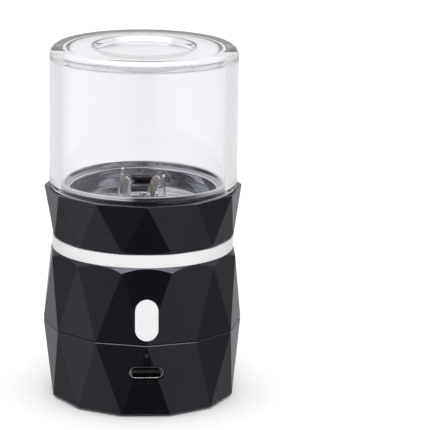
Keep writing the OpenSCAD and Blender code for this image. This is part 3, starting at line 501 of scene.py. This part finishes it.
# %% Board and cell
TRACE_LENGTH, TRACE_PITCH, TRACE = 11, 0.8, 0.1      # copper under the mask, in millimetres
ON_EDGE = (pi / 2, 0, 0)     # turns a flat pattern up to the board, which stands on its edge
materials["board"], tree, shader = finish("green_solder_mask", "1d5a3c", IOR=1.55,
                                          Roughness=0.25)
place = add(tree, "ShaderNodeTexCoord", {})
turned = add(tree, "ShaderNodeMapping", {"Vector": place.outputs["Object"],
                                         "Rotation": ON_EDGE})
traces = add(tree, "ShaderNodeTexBrick", {
    "Vector": turned.outputs["Vector"], "Scale": 1.0, "Brick Width": TRACE_LENGTH * MM,
    "Row Height": TRACE_PITCH * MM, "Mortar Size": TRACE * MM, "Mortar Smooth": 0.2,
    "Color1": linear("174e33"), "Color2": linear("1b573a"), "Mortar": linear("2f7f55")})
tree.links.new(traces.outputs["Color"], shader.inputs["Base Color"])
emboss(tree, shader, traces.outputs["Fac"], strength=0.4, depth=0.05)
materials["ceramic_chip"], tree, shader = finish("fired_ceramic", "b79c74", IOR=1.7)
noise = grain(tree, shader, size=0.2, bump=0.05, rough=0.4, spread=0.05)
tint(tree, shader, noise, "a98e67", "c4aa84")
materials["cell_pouch"], tree, shader = finish("aluminium_laminate_foil", "b9bdc2",
                                               Metallic=0.9)
noise = grain(tree, shader, size=3.0, bump=0.25, rough=0.32, spread=0.06)
tint(tree, shader, noise, "adb1b6", "c6cacf")

# %% Finishes on the solids
# Pieces that aren't finished like the rest of their slot
OWN_FINISH = {"armature_windings": winding, "light_pipe": smoked, "armature_core": laminated,
              "blade_hub": hub_painted_reflection}
for name, solid in frame["nodes"].items():
    solid.data.materials.clear()
    solid.data.materials.append(OWN_FINISH.get(name, materials[slots[name]]))
print(len(materials), "slots finished")

# %% [markdown]
# ### Floor
# The floor is white card. It is left out of every mirror image, so that the gloss and the steel
# show only the cards of the tent.

# %% Floor
FLOOR_REACH = 4          # from the middle of the floor to each side, in metres
white_card, tree, shader = finish("white_card", "fafafa", Specular_IOR_Level=0.0)
grain(tree, shader, size=20, bump=0.0, rough=0.9, spread=0.05)
mirrored = add(tree, "ShaderNodeLightPath", {}).outputs["Glossy Depth"]
clear = add(tree, "ShaderNodeBsdfTransparent", {})
either = add(tree, "ShaderNodeMixShader", {0: mirrored, 1: shader.outputs["BSDF"],
                                           2: clear.outputs["BSDF"]})
tree.links.new(either.outputs["Shader"], tree.nodes["Material Output"].inputs["Surface"])
bm = bmesh.new()
bmesh.ops.create_grid(bm, x_segments=1, y_segments=1, size=FLOOR_REACH)
sheet = bpy.data.meshes.new("floor")
bm.to_mesh(sheet)
bm.free()
sheet.materials.append(white_card)
floor = bpy.data.objects.new("floor", sheet)
bpy.context.scene.collection.objects.link(floor)
print("floor of", 2 * FLOOR_REACH, "metres")


# %% [markdown]
# ## Making pieces
# A piece that stands for a solid rides on the same body and takes its finish from the same slot.
# Weighted normals keep broad flat faces flat beside their rounded edges.

# %% Piece helpers
SHARP = radians(35)      # a fold steeper than this stays a hard edge in the shading


def piece(name, bm, node, material=None):
    """Makes an object of a bmesh, to stand for a node."""
    for face in bm.faces:
        face.smooth = True
    for edge in bm.edges:
        edge.smooth = edge.calc_face_angle(0) < SHARP
    mesh = bpy.data.meshes.new(name)
    bm.to_mesh(mesh)
    bm.free()
    mesh.materials.append(material or materials[slots[node]])
    made = bpy.data.objects.new(name, mesh)
    bpy.context.scene.collection.objects.link(made)
    made.modifiers.new("weighted_normals", "WEIGHTED_NORMAL").keep_sharp = True
    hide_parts(node)
    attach(made, body_of(frame["nodes"][node])[0])
    print(name, len(mesh.polygons), "faces")


def size_of(node):
    """Lowest and highest corners of a solid, in millimetres."""
    return [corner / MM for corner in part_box(node)]


print("the collar's rim is", round(size_of("lid_collar")[1].z, 1), "mm over the table")

# %% [markdown]
# ### Turned pieces
# Whatever is round comes from a profile of straight lines, spun round the axis. The rings that its
# corners leave are then bevelled, which gives round edges of an exact size. A rounding is written
# as a pair: how far back from the corner it starts, in millimetres, and its number of segments.

# %% Spinning and softening
SPIN_STEPS = 192         # flats in a full turn
SAME_SPOT = 1e-7         # vertices this near each other are merged after a spin, in metres
AT_CORNER = 0.002        # how near a vertex lies to the corner that it belongs to, in millimetres


def soften(bm, edges, size, segments):
    """Rounds edges, size in millimetres being how far back the rounding starts."""
    bmesh.ops.bevel(bm, geom=edges, offset=size * MM, offset_type="OFFSET", segments=segments,
                    profile=0.5, affect="EDGES", clamp_overlap=True, material=-1)


def spun(profile, closed=False):
    """A profile turned round the axis. Each of its points is a radius and a height in
    millimetres, and a corner that is rounded adds the two numbers of its rounding."""
    bm = bmesh.new()
    line = [bm.verts.new((r * MM, 0, z * MM)) for r, z, *_ in profile]
    edges = [bm.edges.new(pair) for pair in zip(line, line[1:] + line[:closed])]
    bmesh.ops.spin(bm, geom=line + edges, axis=(0, 0, 1), cent=(0, 0, 0), angle=2 * pi,
                   steps=SPIN_STEPS, use_merge=True)
    bmesh.ops.remove_doubles(bm, verts=bm.verts, dist=SAME_SPOT)
    bmesh.ops.recalc_face_normals(bm, faces=bm.faces)
    for r, z, *rounding in profile:
        if rounding:
            ring = [e for e in bm.edges if all(abs(v.co.xy.length / MM - r) < AT_CORNER
                                               and abs(v.co.z / MM - z) < AT_CORNER
                                               for v in e.verts)]
            soften(bm, ring, *rounding)
    return bm


print("turned pieces have", SPIN_STEPS, "flats in a full turn")

# %% [markdown]
# ## Glass jar
# The jar is pressed soda-lime glass, 3.1 mm thick at its side, standing mouth down in the collar.
# Its closed end is thinner and pushed in at the middle. Glass shows every flat in its curves, so
# its shoulder and the corner of its ceiling are rounded in a dozen segments each.

# %% Jar
WALL, END_WALL, LIP = 3.1, 1.6, 2.05     # thickness of the side, the closed end and the mouth
HEEL, NECK = 3.64, 2.64      # over the mouth: where the body ends, and where the mouth starts
DIP = 1.3                # depth of the pushed-in middle
DIP_INSET, DIP_FOOT_INSET = 11.1, 12.14      # from the side: where the dip starts and ends
# Roundings
SLIGHT, BLUNT, SHOULDER, CEILING_CORNER = (0.4, 3), (0.5, 4), (2.3, 12), (2.6, 12)
low, high = size_of("glass_jar")
JAR_R, JAR_TOP, MOUTH_Z = high.x, high.z, low.z
BORE_R, CEILING = JAR_R - WALL, JAR_TOP - END_WALL
MOUTH_R, HEEL_Z, NECK_Z = BORE_R + LIP, MOUTH_Z + HEEL, MOUTH_Z + NECK
DIP_R, DIP_FOOT_R = JAR_R - DIP_INSET, JAR_R - DIP_FOOT_INSET
jar = spun([(0, JAR_TOP - DIP), (DIP_FOOT_R, JAR_TOP - DIP, *SLIGHT), (DIP_R, JAR_TOP, *SLIGHT),
            (JAR_R, JAR_TOP, *SHOULDER), (JAR_R, HEEL_Z, *BLUNT), (MOUTH_R, NECK_Z, *SLIGHT),
            (MOUTH_R, MOUTH_Z, *BLUNT), (BORE_R, MOUTH_Z, *BLUNT),
            (BORE_R, CEILING, *CEILING_CORNER), (DIP_R, CEILING, *SLIGHT),
            (DIP_FOOT_R, CEILING - DIP, *SLIGHT), (0, CEILING - DIP)])
piece("jar_glass", jar, "glass_jar")


# %% [markdown]
# ## Grinding bowl
# The bowl is drawn from 0.7 mm stainless sheet and polished. A drawn sheet is the same thickness
# all over, so its inner face is spun, rounded, and then given its thickness outwards. The rim is
# softened last, once both of its edges are there.

# %% Bowl
def folds(bm, outside, least=4):
    """Edges that turn by at least so many degrees, with both ends where a test says they show."""
    return [e for e in bm.edges if len(e.link_faces) == 2
            and e.calc_face_angle(0) > radians(least)
            and all(outside(v.co / MM) for v in e.verts)]


SHEET, SEAL_HOLE = 0.7, 2.4      # thickness of the sheet, and radius of the shaft seal's hole
STEP_WIDTH, STEP_DROP = 1.5, 1.4     # how far the step lies inside and under the rim
# Roundings
FLOOR_CORNER, STEP_EDGE, STEP_CORNER, RIM_EDGE = (3.5, 10), (0.6, 5), (0.3, 3), (0.25, 3)
low, high = size_of("grinding_bowl")
RIM_R, RIM_Z = high.x - SHEET, high.z
BOWL_R, STEP_Z, BOWL_FLOOR = RIM_R - STEP_WIDTH, RIM_Z - STEP_DROP, low.z + SHEET
bowl = spun([(SEAL_HOLE, BOWL_FLOOR), (BOWL_R, BOWL_FLOOR, *FLOOR_CORNER),
             (BOWL_R, STEP_Z, *STEP_EDGE), (RIM_R, STEP_Z, *STEP_CORNER), (RIM_R, RIM_Z)])
bmesh.ops.solidify(bowl, geom=bowl.faces[:], thickness=-SHEET * MM)
bmesh.ops.recalc_face_normals(bowl, faces=bowl.faces)
soften(bowl, folds(bowl, lambda p: p.z > RIM_Z - 0.01, least=45), *RIM_EDGE)
piece("bowl_steel", bowl, "grinding_bowl")


# %% [markdown]
# ## Faceted shells
# The collar and both halves of the body come out of steel moulds whose facets meet in crisp edges,
# never perfectly sharp. Each is a merged copy of its solid, whose outer edges are bevelled by an
# eighth of a millimetre, so that each edge catches a hairline of light. The inner walls stay as
# they are, and a cone that lies between the two tells the outer edges from the inner.

# %% Shells
def copy_of(node):
    """A merged copy of a solid, its flat faces whole again."""
    bm = bmesh.new()
    bm.from_mesh(frame["nodes"][node].data)
    bmesh.ops.remove_doubles(bm, verts=bm.verts, dist=1e-6)
    bmesh.ops.dissolve_limit(bm, angle_limit=radians(0.3), verts=bm.verts, edges=bm.edges)
    return bm


EDGE, ARC_EDGE = (0.12, 2), (0.3, 3)     # roundings, the arcs under the ring being rounder
ARC_Z = 36.0             # the upper shell's edges that lie above this height are the arcs
_, upper_top = size_of("upper_housing")
lower_low, seam_top = size_of("lower_housing")
collar_low, collar_top = size_of("lid_collar")
SEAM_Z = seam_top.z
# Each shell's node, then its cone: the lowest height and radius, and the highest
SHELLS = {"upper_shell": ("upper_housing", SEAM_Z, 24.6, upper_top.z, 23.3),
          "lower_shell": ("lower_housing", lower_low.z, 23.0, SEAM_Z, 24.5),
          "collar_shell": ("lid_collar", collar_low.z, 22.9, collar_top.z, 24.6)}
for name, (node, z0, r0, z1, r1) in SHELLS.items():
    shell = copy_of(node)
    outer = folds(shell, lambda p: p.xy.length > r0 + (r1 - r0) * (p.z - z0) / (z1 - z0))
    arcs = [e for e in outer
            if name == "upper_shell" and all(v.co.z / MM > ARC_Z for v in e.verts)]
    soften(shell, [e for e in outer if e not in arcs], *EDGE)
    soften(shell, [e for e in arcs if e.is_valid], *ARC_EDGE)
    piece(name, shell, node)

# %% [markdown]
# ## Ring, button and light pipe
# The white ring is a plain moulded band whose ledge hides under the neck's flange. It is round, so
# it is spun. The button is a merged copy, its face rounded where a thumb meets it, and so is the
# light pipe, whose outer end shows in its hole.

# %% Ring
LEDGE_INSET, LEDGE_DROP = 1.05, 1.55     # the ledge, from the ring's outer face and its top
RING_WIDTH = 3.55        # from the outer face to the bore
FOOT_EDGE, TOP_EDGE = (0.12, 3), (0.15, 3)       # roundings
low, high = size_of("accent_ring")
RING_R, RING_LOW, RING_TOP = high.x, low.z, high.z
LEDGE_R, LEDGE_Z, RING_BORE = RING_R - LEDGE_INSET, RING_TOP - LEDGE_DROP, RING_R - RING_WIDTH
ring = spun([(RING_BORE, RING_LOW), (RING_R, RING_LOW, *FOOT_EDGE), (RING_R, RING_TOP, *TOP_EDGE),
             (LEDGE_R, RING_TOP, *TOP_EDGE), (LEDGE_R, LEDGE_Z), (RING_BORE, LEDGE_Z)],
            closed=True)
piece("accent_band", ring, "accent_ring")

# %% Button and light pipe
CAP_EDGE, PIPE_EDGE = (0.25, 4), (0.15, 3)       # roundings
CAP_DEPTH = 1.8          # how far behind its foremost point the button is still rounded
PIPE_FACE_Y = -25.2      # in front of this lies the end of the light pipe that shows
low, high = size_of("power_button")
button = copy_of("power_button")
soften(button, folds(button, lambda p: p.y < low.y + CAP_DEPTH, least=30), *CAP_EDGE)
piece("button_cap", button, "power_button")
pipe = copy_of("light_pipe")
soften(pipe, folds(pipe, lambda p: p.y < PIPE_FACE_Y, least=30), *PIPE_EDGE)
piece("light_pipe_end", pipe, "light_pipe", smoked)

# %% [markdown]
# ## Blades and fasteners
# Three stamped strips are stacked on the hub, their ends bent up as prongs. The tumbling barrel
# that finished them took the edges off, and those rounded edges are what catch the light.

# %% Blades and fasteners
# How far back the rounding of each one's edges starts, in millimetres
SOFTENED = {"outer_blade": 0.12, "cross_blade": 0.12, "inner_blade": 0.12, "blade_nut": 0.15,
            "blade_washer": 0.08, "usb_shell": 0.08, "foot_pad": 0.15, "motor_screws": 0.1}
for node, size in SOFTENED.items():
    solid = copy_of(node)
    soften(solid, folds(solid, lambda p: True, least=40), size, segments=3)
    piece(node + "_finished", solid, node)
